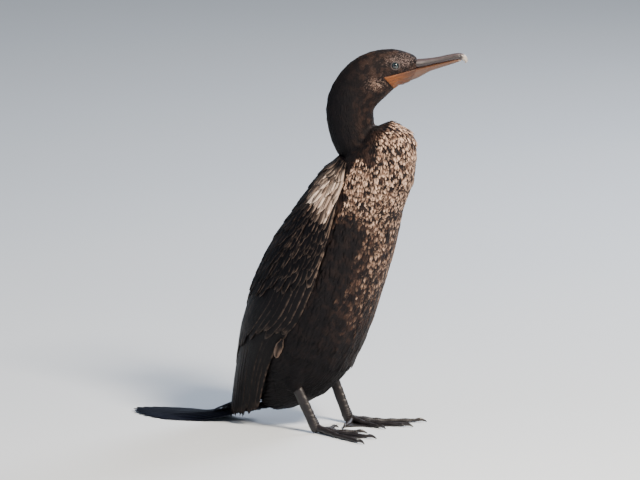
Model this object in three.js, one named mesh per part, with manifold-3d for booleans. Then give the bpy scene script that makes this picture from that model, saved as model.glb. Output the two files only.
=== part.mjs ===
// A cormorant at life size, standing upright with its neck folded in an S and its head turned to its left.
// Millimetres, +Z up, the bird facing +X, its right side towards -Y, the floor at z = 0.
import * as THREE from "three";
import { LoftGeometry } from "three/addons/geometries/LoftGeometry.js";
import { mergeVertices } from "three/addons/utils/BufferGeometryUtils.js";
import Module from "manifold-3d";

const wasm = await Module();
wasm.setup();
const { clamp, degToRad, lerp } = THREE.MathUtils;

// Driving sizes
const GAP = 0.3; // clearance between touching pieces
const HEAD_TURN = degToRad(25); // the head and upper neck turn to the left about the neck's pivot
const NECK_PIVOT_X = 19.9;
const BODY_SIDES = 20;
const TAIL_LENGTH = 160;
const TAIL_FEATHERS = 12;
const STANCE = {
  // each leg's toe joint, and how far its heel lies behind it
  right: { x: -1, y: -33, lean: 22.7 },
  left: { x: 6.6, y: 33, lean: 18 },
};
const TOE_JOINT_HEIGHT = 8.5;
const WEB_THICKNESS = 1.3;
const VANE_THICKNESS = 0.9;
const SCUTE_STEP = 0.92; // each second ring of a shank or toe is this much smaller, which parts its scutes
const EYE_RADIUS = 5;

// Plumage and skin colours
const LOOKS = {
  plumage: { color: 0x2b221d, roughness: 0.75, metalness: 0 },
  breast: { color: 0x6b5140, roughness: 0.8, metalness: 0 },
  wing: { color: 0x26211f, roughness: 0.6, metalness: 0 },
  bill: { color: 0x6e5344, roughness: 0.45, metalness: 0 },
  gular: { color: 0xb87434, roughness: 0.6, metalness: 0 },
  leg: { color: 0x1d1a1b, roughness: 0.5, metalness: 0 },
  claw: { color: 0x141212, roughness: 0.4, metalness: 0 },
  eye: { color: 0x1c2a30, roughness: 0.1, metalness: 0 },
};
const materials = Object.fromEntries(
  Object.entries(LOOKS).map(([name, look]) => [name, new THREE.MeshStandardMaterial(look)]),
);

// A solid from a closed three.js geometry.
function solid(geometry) {
  const bare = new THREE.BufferGeometry().setAttribute("position", geometry.getAttribute("position"));
  bare.setIndex(geometry.index);
  const merged = mergeVertices(bare, 1e-4);
  const corners = merged.index.array;
  const faces = [];
  for (let i = 0; i < corners.length; i += 3) {
    const [a, b, c] = [corners[i], corners[i + 1], corners[i + 2]];
    if (a !== b && b !== c && c !== a) faces.push(a, b, c);
  }
  const vertProperties = merged.attributes.position.array;
  return new wasm.Manifold(new wasm.Mesh({ numProp: 3, vertProperties, triVerts: new Uint32Array(faces) }));
}

// A solid through rings of points, each ring turned so that the faces point outwards, its ends closed by a
// strip of triangles across the ring, so that a ring may also be the outline of a thin bent plate.
function loft(rings) {
  const centre = (ring) => ring.reduce((sum, p) => sum.add(p), new THREE.Vector3()).divideScalar(ring.length);
  const [start, next] = rings.slice(0, 2).map(centre);
  const turn = new THREE.Vector3();
  rings[0].forEach((p, i) => {
    const q = rings[0][(i + 1) % rings[0].length];
    turn.add(p.clone().sub(start).cross(q.clone().sub(start)));
  });
  const outward = turn.dot(next.sub(start)) > 0;
  const body = new LoftGeometry(outward ? rings : rings.map((ring) => ring.slice().reverse()));
  const faces = Array.from(body.index.array);
  const count = rings[0].length;
  const top = (rings.length - 1) * (count + 1);
  for (let a = 0, b = count - 1; b - a > 1; b--) {
    faces.push(a + 1, a, b, top + a, top + a + 1, top + b);
    a++;
    if (b - a > 1) faces.push(b, b - 1, a, top + a, top + b - 1, top + b);
  }
  body.setIndex(faces);
  return solid(body);
}

// The largest closed surface of a solid.
function largest(shape) {
  return shape.decompose().reduce((best, piece) => (piece.volume() > best.volume() ? piece : best));
}

function mesh(name, shape, look) {
  const { vertProperties, triVerts } = largest(shape).getMesh();
  const geometry = new THREE.BufferGeometry()
    .setAttribute("position", new THREE.BufferAttribute(vertProperties, 3))
    .setIndex(new THREE.BufferAttribute(triVerts, 1));
  geometry.computeVertexNormals();
  const made = new THREE.Mesh(geometry, materials[look]);
  made.name = name;
  return made;
}

// A form is a row of oval sections along a smooth path. Each station is [x, y, z, ventral, dorsal, lateral]:
// the section's centre and its reach to the front, the back and the sides.
class Form {
  constructor(stations, place = new THREE.Matrix4()) {
    const spline = (from) =>
      new THREE.CatmullRomCurve3(
        stations.map((s) => new THREE.Vector3(...s.slice(from, from + 3))),
        false,
        "centripetal",
      );
    this.path = spline(0);
    this.reach = spline(3);
    this.place = place;
  }

  // The centre, the three directions and the reaches of the section at t, from 0 at the tail end to 1.
  section(t) {
    const centre = this.path.getPoint(t);
    const along = this.path.getTangent(t);
    const left = new THREE.Vector3(0, 1, 0);
    left.addScaledVector(along, -left.dot(along)).normalize();
    const back = new THREE.Vector3().crossVectors(along, left);
    const [ventral, dorsal, lateral] = this.reach.getPoint(t).toArray();
    return { centre, along, left, back, ventral, dorsal, lateral };
  }

  // The point at angle phi, 0 at the front of the body and 90 degrees at its right side, raised by height.
  point(t, phi, height = 0) {
    const s = this.section(t);
    const depth = Math.cos(phi) > 0 ? s.ventral : s.dorsal;
    const outward = new THREE.Vector2(Math.cos(phi) / depth, Math.sin(phi) / s.lateral).normalize();
    return s.centre
      .addScaledVector(s.back, -(depth * Math.cos(phi) + height * outward.x))
      .addScaledVector(s.left, -(s.lateral * Math.sin(phi) + height * outward.y))
      .applyMatrix4(this.place);
  }

  // A closed tube of the sections from one t to another, grown by an even clearance, its ends domed.
  tube({ rings, sides = BODY_SIDES, from = 0, to = 1, grow = 0, domeFrom = 0.12, domeTo = 0.12 }) {
    const sections = [];
    for (let i = 0; i <= rings; i++) {
      const u = (1 - Math.cos((Math.PI * i) / rings)) / 2;
      const even = 0.5 * u + (0.5 * i) / rings;
      const t = from + (to - from) * even;
      const swell = Math.min(dome(even, domeFrom), dome(1 - even, domeTo));
      const s = this.section(t);
      const ring = [];
      for (let j = 0; j < sides; j++) {
        const phi = (2 * Math.PI * j) / sides;
        const depth = (Math.cos(phi) > 0 ? s.ventral : s.dorsal) * swell + grow;
        const side = s.lateral * swell + grow;
        ring.push(
          s.centre
            .clone()
            .addScaledVector(s.back, -depth * Math.cos(phi))
            .addScaledVector(s.left, -side * Math.sin(phi))
            .applyMatrix4(this.place),
        );
      }
      sections.push(ring);
    }
    return loft(sections);
  }
}

// The share of its full size that a domed end has at a distance u from it.
function dome(u, length) {
  const least = 0.12;
  if (length <= 0 || u >= length) return 1;
  const v = 1 - u / length;
  return Math.max(least, Math.sqrt(1 - v * v));
}

// Torso and folded lower neck, from the tail's root up to the front of the neck's lower bend
const torsoForm = new Form([
  [-76, 0, 25, 13, 14, 15],
  [-62, 0, 37, 26, 24, 27],
  [-45.2, 0, 62.7, 47, 40, 42],
  [-31.3, 0, 95.8, 60, 52, 53],
  [-15.1, 0, 135.4, 61, 54, 57],
  [0, 0, 177, 60, 52, 57],
  [17.4, 0, 216.7, 56, 47, 52],
  [38.2, 1, 258, 46, 40, 43],
  [54.2, 3, 280.8, 39, 37, 36],
  [60.5, 7, 300, 31, 32, 31],
  [62.5, 9, 329.5, 30, 30, 29],
]);
const torsoSize = { rings: 21, domeFrom: 0.02, domeTo: 0.1 };
const SHOULDER_CUT = 0.66; // where the lower neck is parted from the torso

// Upper neck and head, in the plane that turns with the head
const headPlace = new THREE.Matrix4()
  .makeTranslation(NECK_PIVOT_X, 0, 0)
  .multiply(new THREE.Matrix4().makeRotationZ(HEAD_TURN));
const neckForm = new Form(
  [
    [22, 2, 279, 17, 17, 17],
    [5, 0, 305, 24, 22.5, 20],
    [-1.2, 0, 327.7, 27, 24, 20],
    [-0.2, 0, 346.9, 26.5, 25.5, 20],
    [9.3, 0, 363.4, 27, 26.5, 19],
    [25.4, 0, 376.5, 25.5, 26, 17.5],
    [45.8, 0, 385.9, 20, 20, 15],
    [61.5, 0, 388.3, 13, 12.5, 10.5],
    [72, 0, 388, 7.5, 6.8, 6.5],
  ],
  headPlace,
);
const neckSize = { rings: 22, sides: 16, domeFrom: 0.02, domeTo: 0.08 };
const NAPE_CUT = 0.5;

// A plane across a form at t: its unit normal along the path and its distance from the origin.
function planeAcross(form, t) {
  const s = form.section(t);
  const normal = s.along.clone().transformDirection(form.place);
  const distance = s.centre.applyMatrix4(form.place).dot(normal);
  return { normal: normal.toArray(), distance };
}

// A plane of the head through two points of its own plane, its normal to the left of the way between them.
function planeThrough([x0, z0], [x1, z1]) {
  const normal = new THREE.Vector3(-(z1 - z0), 0, x1 - x0).normalize().transformDirection(headPlace);
  const distance = new THREE.Vector3(x0, 0, z0).applyMatrix4(headPlace).dot(normal);
  return { normal: normal.toArray(), distance };
}

// The parts of a solid on the far and the near side of a plane, with the clearance between them.
const beyond = (shape, { normal, distance }) => shape.trimByPlane(normal, distance + GAP / 2);
const before = (shape, { normal, distance }) =>
  shape.trimByPlane(normal.map((n) => -n), -distance + GAP / 2);

const torsoWhole = torsoForm.tube(torsoSize);
const torsoClear = torsoForm.tube({ ...torsoSize, grow: GAP });
const shoulder = planeAcross(torsoForm, SHOULDER_CUT);
const neckWhole = neckForm.tube(neckSize).subtract(torsoClear);
const neckClear = neckForm.tube({ ...neckSize, grow: GAP });
const nape = planeAcross(neckForm, NAPE_CUT);

// Head: eyes with their lids, the gape, the bare gular skin and the bill
const EYE = [46.7, 388.5]; // in the head's plane
const EYE_SIDE = 10.4; // the eyeball's centre from the head's middle plane
const LID = { radius: 4.3, tube: 1.0, side: 14.0 };
const GAPE_REAR = [34.5, 376.7];
const GAPE_FRONT = [69.2, 384.2];
const GULAR_LOW = [45, 363.9];

// A solid of the head's own plane, at (x, side, z) there.
function headSolid(geometry, x, side, z) {
  return solid(geometry.translate(x, side, z).applyMatrix4(headPlace));
}

function eyeball(side, grow = 0) {
  const ball = new THREE.SphereGeometry(EYE_RADIUS + grow, 12, 8);
  return headSolid(ball, EYE[0], side * EYE_SIDE, EYE[1]);
}

function lid(side) {
  const ring = new THREE.TorusGeometry(LID.radius, LID.tube, 6, 14).rotateX(Math.PI / 2);
  return headSolid(ring, EYE[0], side * LID.side, EYE[1]);
}

// The bill's two halves, as [x, y, z, below, above, lateral] along the head's plane
const upperBillForm = new Form(
  [
    [58, 0, 388.5, 4.0, 5.2, 6.2],
    [72, 0, 388.8, 4.2, 5.0, 5.8],
    [90, 0, 391.9, 3.1, 3.8, 4.4],
    [104, 0, 394.6, 3.2, 4.0, 3.6],
    [113, 0, 396.3, 3.4, 3.6, 3.2],
    [118.2, 0, 395.2, 2.9, 2.8, 2.4],
    [120.4, 0, 391.6, 1.5, 1.4, 1.3],
    [119.6, 0, 389.4, 0.6, 0.6, 0.6],
  ],
  headPlace,
);
const lowerBillForm = new Form(
  [
    [56, 0, 378.5, 5.5, 4.6, 6.0],
    [68, 0, 381.0, 3.8, 3.4, 5.4],
    [82, 0, 384.9, 2.3, 2.4, 4.2],
    [98, 0, 388.7, 1.6, 1.9, 3.2],
    [111, 0, 391.4, 1.0, 1.2, 2.2],
  ],
  headPlace,
);

function headPieces() {
  const gape = planeThrough(GAPE_REAR, GAPE_FRONT);
  const chin = planeThrough(GULAR_LOW, GAPE_REAR);
  const whole = beyond(neckWhole, nape);
  const skull = beyond(whole, gape).add(beyond(before(whole, gape), chin)).add(beyond(whole, chin));
  const gular = before(before(whole, gape), chin);
  let head = skull;
  for (const side of [-1, 1]) head = head.add(lid(side)).subtract(eyeball(side, GAP));
  const upperBill = upperBillForm.tube({ rings: 14, sides: 12, domeFrom: 0, domeTo: 0.1 });
  const upperClear = upperBillForm.tube({ rings: 14, sides: 12, domeFrom: 0, domeTo: 0.1, grow: GAP });
  const lowerBill = lowerBillForm.tube({ rings: 9, sides: 12, domeFrom: 0, domeTo: 0.1 });
  return [
    mesh("head", head, "plumage"),
    mesh("gular_skin", gular, "gular"),
    mesh("upper_mandible", upperBill.subtract(neckClear), "bill"),
    mesh("lower_mandible", lowerBill.subtract(neckClear).subtract(upperClear), "bill"),
    mesh("eye_right", eyeball(-1), "eye"),
    mesh("eye_left", eyeball(1), "eye"),
  ];
}

// Wings: the two folded wings and the scapulars lie on a cloak round the torso, from the wing tips at t = 0
// up to the shoulders at t = 1
const cloakForm = new Form([
  [-90, 0, 0, 24, 29, 26],
  [-84, 0, 30, 30, 31, 33],
  [-74, 0, 62, 37, 35, 44],
  [-58, 0, 95, 46, 46, 55],
  [-36, 0, 130, 54, 56, 62],
  [-14, 0, 170, 56, 57, 64],
  [8, 0, 205, 54, 55, 60],
  [25, 0, 236, 49, 51, 53],
  [39, 1, 262, 42, 46, 44],
  [47, 2, 284, 36, 38, 36],
]);
// The wing's front edge, as angles from the breast at even steps of t
const FRONT_EDGE = [62, 66, 69, 70, 65, 67, 77, 90, 102, 118];
const TIP_SWING = { wing_right: 0, wing_left: 12 }; // how far each wing's tip is carried back

function frontEdge(t) {
  const place = clamp(t, 0, 1) * (FRONT_EDGE.length - 1);
  const i = Math.min(Math.floor(place), FRONT_EDGE.length - 2);
  return lerp(FRONT_EDGE[i], FRONT_EDGE[i + 1], place - i);
}

// A feather's half width at the share s of its length.
function vaneShape(s, pointed) {
  const base = 0.55 + 0.45 * Math.min(1, s / 0.3);
  const tip = Math.pow(Math.max(0, 1 - Math.pow(s, pointed)), 0.6);
  return base * Math.max(tip, 0.12);
}

// A point of the cloak's right side, carried to its own wing, whose tip is swung back.
function onWing(p, t, side) {
  const swing = side > 0 ? TIP_SWING.wing_left : TIP_SWING.wing_right;
  return new THREE.Vector3(p.x - swing * Math.max(0, 1 - t / 0.4) ** 2, -side * p.y, p.z);
}

// One feather on the cloak: a plate, closed all round. root and tip are [t, degrees], and its outer face
// rises from the height lift[0] at the root to lift[1], its front edge higher than its back edge by twice
// the tilt. A plate that lies on the wing's own mass goes down into it by its depth.
function vane({ root, tip, width, lift, depth, steps, pointed, side }) {
  const tilt = 0.5;
  const rings = [];
  for (let i = 0; i <= steps; i++) {
    const s = i / steps;
    const t = lerp(root[0], tip[0], s);
    const phi = degToRad(lerp(root[1], tip[1], s * (1.35 - 0.35 * s)));
    const { lateral, dorsal } = cloakForm.section(t);
    const across = (width * vaneShape(s, pointed)) / (lateral + dorsal);
    const top = lerp(lift[0], lift[1], Math.sqrt(s));
    const at = (turn, height) => onWing(cloakForm.point(t, phi + turn, height), t, side);
    rings.push([
      at(-across, top + tilt),
      at(across, top - tilt),
      at(across, top - tilt - depth),
      at(-across, top + tilt - depth),
    ]);
  }
  return loft(rings);
}

// The wing's own mass under the feathers, from its front edge to the middle of the back.
const CORE = { low: 0.28, high: 0.99, rows: 8, columns: 6, drop: 1.4, rounding: 5, depth: 18 };

function wingCore(side) {
  const rings = [];
  for (let i = 0; i <= CORE.rows; i++) {
    const t = lerp(CORE.low, CORE.high, i / CORE.rows);
    const turns = Array.from({ length: CORE.columns + 1 }, (_, j) =>
      degToRad(lerp(frontEdge(t) + 3, 180, j / CORE.columns)),
    );
    const end = i === 0;
    const outer = turns.map((phi, j) => {
      const inward = Math.max(0, 1 - j / 1.6);
      const drop = CORE.drop + CORE.rounding * (1 - Math.sqrt(1 - inward ** 2)) + (end ? 1 : 0);
      return cloakForm.point(t, phi, -drop);
    });
    const inner = turns.map((phi) => cloakForm.point(t, phi, end ? -CORE.depth / 2 : -CORE.depth));
    rings.push([...outer, ...inner.reverse()].map((p) => onWing(p, t, side)));
  }
  return loft(rings);
}

// Tiers of wing feathers, lowest first. Each tier runs in count feathers from the front edge to the back: its
// roots lie at t = root, its tips go from t = tips[0] at the front to tips[1], and it covers span degrees.
const TIERS = {
  primaries: {
    count: 7, root: 0.45, tips: [0.02, 0.02], span: [0, 92], width: 22,
    lift: [-2.6, -1.2], depth: VANE_THICKNESS, steps: 4, pointed: 5,
  },
  secondaries: {
    count: 7, root: 0.55, tips: [0.4, 0.16], span: [1, 112], width: 24,
    lift: [-2.4, -0.2], depth: 1.4, steps: 3, pointed: 6,
  },
  greaterCoverts: {
    count: 6, root: 0.7, tips: [0.55, 0.36], span: [3, 82], width: 19,
    lift: [-2, 0.5], depth: 2.6, steps: 2, pointed: 5,
  },
  medianCoverts: {
    count: 5, root: 0.8, tips: [0.66, 0.5], span: [4, 74], width: 20,
    lift: [-2, 1.1], depth: 3.4, steps: 2, pointed: 4,
  },
  lesserCoverts: {
    count: 4, root: 0.9, tips: [0.77, 0.66], span: [5, 52], width: 19,
    lift: [-2, 1.6], depth: 4, steps: 2, pointed: 4,
  },
};

function tierFeathers(tier, side) {
  return Array.from({ length: tier.count }, (_, i) => {
    const share = i / (tier.count - 1);
    const tipT = lerp(...tier.tips, share) + 0.012 * Math.sin(2.4 * i + tier.count);
    const angle = lerp(...tier.span, share);
    const root = [tier.root, frontEdge(tier.root) + 6 + 0.72 * angle];
    return vane({ ...tier, root, tip: [tipT, frontEdge(tipT) + angle], side });
  });
}

// Rows of scapulars over the shoulders and the back, each row's tips lower than the last.
const SCAPULARS = {
  rows: 3, perRow: 3, first: 0.83, step: 0.16, length: 0.19, span: [130, 174], width: 21, lift: [-1.6, 2],
};

function scapularFeathers(side) {
  const made = [];
  for (let row = 0; row < SCAPULARS.rows; row++) {
    const t = SCAPULARS.first - SCAPULARS.step * row;
    for (let i = 0; i < SCAPULARS.perRow; i++) {
      const angle = lerp(...SCAPULARS.span, (i + 0.5 * (row % 2)) / (SCAPULARS.perRow - 0.5));
      const root = [Math.min(0.96, t + SCAPULARS.length), angle + 1];
      const shape = { width: SCAPULARS.width, lift: SCAPULARS.lift, depth: 4, steps: 2, pointed: 3 };
      made.push(vane({ ...shape, root, tip: [t, angle - 2], side }));
    }
  }
  return made;
}

function wing(name, side, tailClear) {
  const tiers = Object.values(TIERS).flatMap((tier) => tierFeathers(tier, side));
  const whole = wasm.Manifold.union([wingCore(side), ...tiers, ...scapularFeathers(side)]);
  const clear = whole.subtract(torsoClear).subtract(neckClear).subtract(tailClear);
  return mesh(name, beyond(clear, { normal: [0, side, 0], distance: 0 }), "wing");
}

// Tail: stiff feathers from the torso's end, bent along the floor behind the bird
const TAIL_ROOT = [-72, 0, 25];
const TAIL_FAN = degToRad(13); // each outer feather's angle from the middle line
const TAIL_WIDTH = 15;
const TAIL_TOUCH = 0.72; // the share of its length after which a feather lies flat

function tailFeather(i, grow = 0) {
  const fan = (2 * i) / (TAIL_FEATHERS - 1) - 1;
  const reach = TAIL_LENGTH * (1 - 0.26 * Math.abs(fan) ** 1.5);
  const turn = TAIL_FAN * fan;
  const stack = 2.2 * (1 - Math.abs(fan)); // the middle feathers lie on top
  const steps = 5;
  const rings = [];
  for (let k = 0; k <= steps; k++) {
    const s = k / steps;
    const fall = Math.max(0, 1 - s / TAIL_TOUCH) ** 1.5;
    const low = -0.25 + stack * (0.6 + 0.4 * s) + (TAIL_ROOT[2] - 4) * fall - grow;
    const high = low + VANE_THICKNESS + 0.4 + 2 * grow;
    const half = (TAIL_WIDTH / 2) * vaneShape(s, 5) * (0.55 + 0.45 * Math.min(1, s / 0.5)) + grow;
    const x = TAIL_ROOT[0] - reach * s * Math.cos(turn);
    const y = 3.5 * fan + reach * s * Math.sin(turn);
    const at = (o, z) => new THREE.Vector3(x + o * half * Math.sin(turn), y + o * half * Math.cos(turn), z);
    rings.push([at(-1, high - 0.2), at(1, high - 0.2), at(1, low), at(-1, low)]);
  }
  return loft(rings);
}

function tailCoverts(grow = 0) {
  const stump = new Form([
    [-122, 0, 13, 1.6, 2.2, 9],
    [-104, 0, 18, 5, 6, 13],
    [-88, 0, 24, 9, 9, 14],
    [-70, 0, 30, 11, 12, 13],
  ]);
  return stump.tube({ rings: 8, sides: 12, domeFrom: 0.1, domeTo: 0, grow });
}

function tail(grow = 0) {
  const feathers = Array.from({ length: TAIL_FEATHERS }, (_, i) => tailFeather(i, grow));
  const whole = wasm.Manifold.union([tailCoverts(grow), ...feathers]);
  return grow ? whole : whole.trimByPlane([0, 0, 1], 0).subtract(torsoClear);
}

// Legs: the feathered thigh, the bare shank, the webbed foot and its claws, one set a side
const HEEL = { back: 6, height: 53.7 }; // the heel above the end of the shank's lean
const ANKLE_HEIGHT = 9;
const TOES = [
  { name: "hind", heading: -80, length: 27, knuckles: 2 },
  { name: "inner", heading: -21, length: 42, knuckles: 3 },
  { name: "middle", heading: 4, length: 60, knuckles: 4 },
  { name: "outer", heading: 28, length: 70, knuckles: 5 },
];
const CLAW_LENGTH = 9;

function thighForm({ x, y, lean }) {
  const heelX = x - HEEL.back - lean;
  return new Form([
    [heelX + 1, y, HEEL.height - 9, 6.4, 6.2, 5.4],
    [heelX + 1.5, y, HEEL.height + 2, 9.5, 8.5, 8],
    [heelX + 6, y * 0.97, HEEL.height + 16, 15, 13, 12.5],
    [heelX + 14, y * 0.85, HEEL.height + 34, 21, 20, 18],
  ]);
}

function shankForm({ x, y, lean }) {
  const heelX = x - HEEL.back - lean;
  const at = (share) => [heelX + lean * share, y, lerp(HEEL.height, ANKLE_HEIGHT, share)];
  return new Form([
    [...at(1), 6.4, 5.2, 5.6],
    [...at(0.86), 5.4, 4.9, 4.3],
    [...at(0.5), 5.2, 5.2, 3.4],
    [...at(0), 6, 6, 4.6],
  ]);
}

// A toe from the joint to its claw, swelling at each knuckle, in the foot's own turn.
function toeForm(toe, x, y, side) {
  const heading = degToRad(toe.heading) * side;
  const stations = [];
  const steps = 2 * toe.knuckles;
  for (let i = 0; i <= steps; i++) {
    const s = i / steps;
    const size = lerp(4.3, 2.3, Math.sqrt(s)) * (i % 2 ? SCUTE_STEP : 1);
    const height = lerp(TOE_JOINT_HEIGHT - 3, 2.0, Math.min(1, 2.2 * s));
    stations.push([
      x + toe.length * s * Math.cos(heading),
      y + toe.length * s * Math.sin(heading),
      height,
      size,
      size * 0.92,
      size,
    ]);
  }
  return new Form(stations);
}

function web(x, y, side) {
  const tips = TOES.map((toe) => {
    const heading = degToRad(toe.heading) * side;
    const reach = toe.length * 0.95;
    return new THREE.Vector2(x + reach * Math.cos(heading), y + reach * Math.sin(heading));
  });
  const joint = new THREE.Vector2(x, y);
  const outline = new THREE.Shape();
  outline.moveTo(joint.x, joint.y);
  outline.lineTo(tips[0].x, tips[0].y);
  for (let i = 1; i < tips.length; i++) {
    const dip = tips[i - 1].clone().add(tips[i]).multiplyScalar(0.5).lerp(joint, 0.22);
    outline.quadraticCurveTo(dip.x, dip.y, tips[i].x, tips[i].y);
  }
  outline.closePath();
  return solid(
    new THREE.ExtrudeGeometry(outline, { depth: WEB_THICKNESS, bevelEnabled: false, curveSegments: 3 }),
  );
}

function clawForm(toe, x, y, side) {
  const heading = degToRad(toe.heading) * side;
  const shape = [
    [-1.5, 2.4, 1.9],
    [0.25, 3.0, 1.8],
    [0.62, 2.4, 1.3],
    [0.88, 1.3, 0.8],
    [1.0, 0.5, 0.4],
  ];
  return new Form(
    shape.map(([s, z, size]) => {
      const reach = toe.length + CLAW_LENGTH * s;
      return [x + reach * Math.cos(heading), y + reach * Math.sin(heading), z, size, size, size * 0.75];
    }),
  );
}

function leg(word) {
  const stance = STANCE[word];
  const { x, y } = stance;
  const side = Math.sign(y);
  const thighSize = { rings: 8, sides: 12, domeFrom: 0.25, domeTo: 0 };
  const shankSize = { rings: 8, sides: 10, domeFrom: 0.1, domeTo: 0 };
  const thigh = thighForm(stance).tube(thighSize).subtract(torsoClear);
  const thighClear = thighForm(stance).tube({ ...thighSize, grow: GAP });
  const shank = shankForm(stance).tube(shankSize).subtract(thighClear).subtract(torsoClear);
  const shankClear = shankForm(stance).tube({ ...shankSize, grow: GAP });
  const toeSize = (toe) => ({ rings: 2 * toe.knuckles, sides: 6, domeFrom: 0, domeTo: 0 });
  const toes = TOES.map((toe) => toeForm(toe, x, y, side).tube(toeSize(toe)));
  const clears = TOES.map((toe) => toeForm(toe, x, y, side).tube({ ...toeSize(toe), grow: GAP }));
  const foot = wasm.Manifold.union([web(x, y, side), ...toes]).trimByPlane([0, 0, 1], 0);
  const webClear = web(x, y, side).translate(0, 0, GAP);
  const claws = TOES.map((toe, i) => {
    const claw = clawForm(toe, x, y, side).tube({ rings: 3, sides: 6, domeFrom: 0, domeTo: 0 });
    const free = claw.subtract(clears[i]).subtract(webClear).subtract(web(x, y, side));
    return mesh(`claw_${word}_${toe.name}`, free.trimByPlane([0, 0, 1], 0), "claw");
  });
  return [
    mesh(`thigh_${word}`, thigh, "plumage"),
    mesh(`shank_${word}`, shank, "leg"),
    mesh(`foot_${word}`, foot.subtract(shankClear), "leg"),
    ...claws,
  ];
}

const bird = new THREE.Group();
const tailClear = tail(GAP);
bird.add(
  mesh("torso", before(torsoWhole, shoulder), "breast"),
  mesh("neck_lower", beyond(torsoWhole, shoulder), "breast"),
  mesh("neck_upper", before(neckWhole, nape), "plumage"),
  ...headPieces(),
  wing("wing_right", -1, tailClear),
  wing("wing_left", 1, tailClear),
  mesh("tail", tail(), "wing"),
  ...leg("right"),
  ...leg("left"),
);

// The origin is on the floor, under the middle of the whole bird.
const box = new THREE.Box3().setFromObject(bird);
bird.position.set(-(box.min.x + box.max.x) / 2, -(box.min.y + box.max.y) / 2, -box.min.z);

export default bird;
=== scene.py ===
# A young cormorant standing at rest, its neck drawn into an S and its head turned to its left.
# Sizes are in millimetres in the bird's own drawing frame, and place() takes them to the model's metres.
import math
from functools import partial

import bmesh
import bpy
import numpy as np
from mathutils import Matrix, Vector
from mathutils.bvhtree import BVHTree


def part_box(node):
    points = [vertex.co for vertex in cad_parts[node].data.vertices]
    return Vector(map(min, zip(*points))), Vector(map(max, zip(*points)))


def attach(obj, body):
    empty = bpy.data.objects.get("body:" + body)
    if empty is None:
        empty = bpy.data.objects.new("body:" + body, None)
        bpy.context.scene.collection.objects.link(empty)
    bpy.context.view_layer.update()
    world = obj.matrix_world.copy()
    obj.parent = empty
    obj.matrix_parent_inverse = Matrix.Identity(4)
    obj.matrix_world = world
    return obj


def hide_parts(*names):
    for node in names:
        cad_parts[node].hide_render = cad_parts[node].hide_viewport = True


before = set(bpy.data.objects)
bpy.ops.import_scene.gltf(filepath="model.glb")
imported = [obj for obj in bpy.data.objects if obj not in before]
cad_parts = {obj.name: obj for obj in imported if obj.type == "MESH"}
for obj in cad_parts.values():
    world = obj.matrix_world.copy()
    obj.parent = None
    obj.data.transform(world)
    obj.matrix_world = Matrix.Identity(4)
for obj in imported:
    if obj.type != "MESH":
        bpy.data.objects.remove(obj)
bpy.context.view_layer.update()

BODY = "root"
MM = 0.001

HEAD_TURN = math.radians(25)
NECK_PIVOT_X = 19.9
EYE = (46.7, 388.5)
EYE_SIDE = 10.4
EYE_RADIUS = 5.0
GAPE_REAR = (34.5, 376.7)
GAPE_FRONT = (69.2, 384.2)
CHIN = (45, 363.9)
STANCE = {"right": (-1.0, -33.0, 22.7), "left": (6.6, 33.0, 18.0)}
HEEL_BACK = 6.0
HEEL_HEIGHT = 53.7
ANKLE_HEIGHT = 9.0
TOES = {
    # each toe's heading from straight ahead, its length and its number of knuckles
    "hind": (-80, 27, 2),
    "inner": (-21, 42, 3),
    "middle": (4, 60, 4),
    "outer": (28, 70, 5),
}
random = np.random.default_rng(7)


# Places and paths


def from_head(points):
    """Points of the head's own plane, (along, left, up), in the drawing frame."""
    p = np.asarray(points, float)
    c, s = math.cos(HEAD_TURN), math.sin(HEAD_TURN)
    x = NECK_PIVOT_X + c * p[..., 0] - s * p[..., 1]
    y = s * p[..., 0] + c * p[..., 1]
    return np.stack([x, y, p[..., 2]], -1)


def to_head(points):
    """Points of the drawing frame in the head's own plane."""
    p = np.asarray(points, float)
    c, s = math.cos(HEAD_TURN), math.sin(HEAD_TURN)
    x = p[..., 0] - NECK_PIVOT_X
    return np.stack([c * x + s * p[..., 1], -s * x + c * p[..., 1], p[..., 2]], -1)


right_eye = sum(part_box("eye_right"), Vector()) / 2
SHIFT = np.array(right_eye) / MM - from_head((EYE[0], -EYE_SIDE, EYE[1]))


def place(points):
    """Drawing millimetres to the model's metres."""
    return (np.asarray(points, float) + SHIFT) * MM


def drawn(points):
    """The model's metres to drawing millimetres."""
    return np.asarray(points, float) / MM - SHIFT


def unit(v):
    v = np.asarray(v, float)
    return v / np.maximum(np.linalg.norm(v, axis=-1, keepdims=True), 1e-9)


def ramp(x, low, high):
    """0 below low, 1 above high and smooth between them."""
    s = np.clip((np.asarray(x, float) - low) / (high - low), 0, 1)
    return s * s * (3 - 2 * s)


def gape_height(along):
    """The height of the line between the bill's halves, drawn on through the head."""
    slope = (GAPE_FRONT[1] - GAPE_REAR[1]) / (GAPE_FRONT[0] - GAPE_REAR[0])
    return GAPE_REAR[1] + slope * (along - GAPE_REAR[0])


class Path:
    """A centripetal Catmull-Rom curve through points, from 0 to 1."""

    def __init__(self, points):
        p = np.array(points, float)
        p = np.vstack([2 * p[0] - p[1], p, 2 * p[-1] - p[-2]])
        self.pieces = []
        for a, b, c, d in zip(p, p[1:], p[2:], p[3:]):
            ab, bc, cd = (math.sqrt(np.linalg.norm(v)) for v in (b - a, c - b, d - c))
            start = ((b - a) / ab - (c - a) / (ab + bc) + (c - b) / bc) * bc
            end = ((c - b) / bc - (d - b) / (bc + cd) + (d - c) / cd) * bc
            self.pieces.append([b, start, 3 * (c - b) - 2 * start - end, 2 * (b - c) + start + end])
        self.pieces = np.array(self.pieces)

    def at(self, t):
        t = np.clip(np.asarray(t, float), 0, 1) * len(self.pieces)
        i = np.minimum(t.astype(int), len(self.pieces) - 1)
        w = (t - i)[..., None]
        a, b, c, d = (self.pieces[i, k] for k in range(4))
        return a + w * (b + w * (c + w * d))


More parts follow.
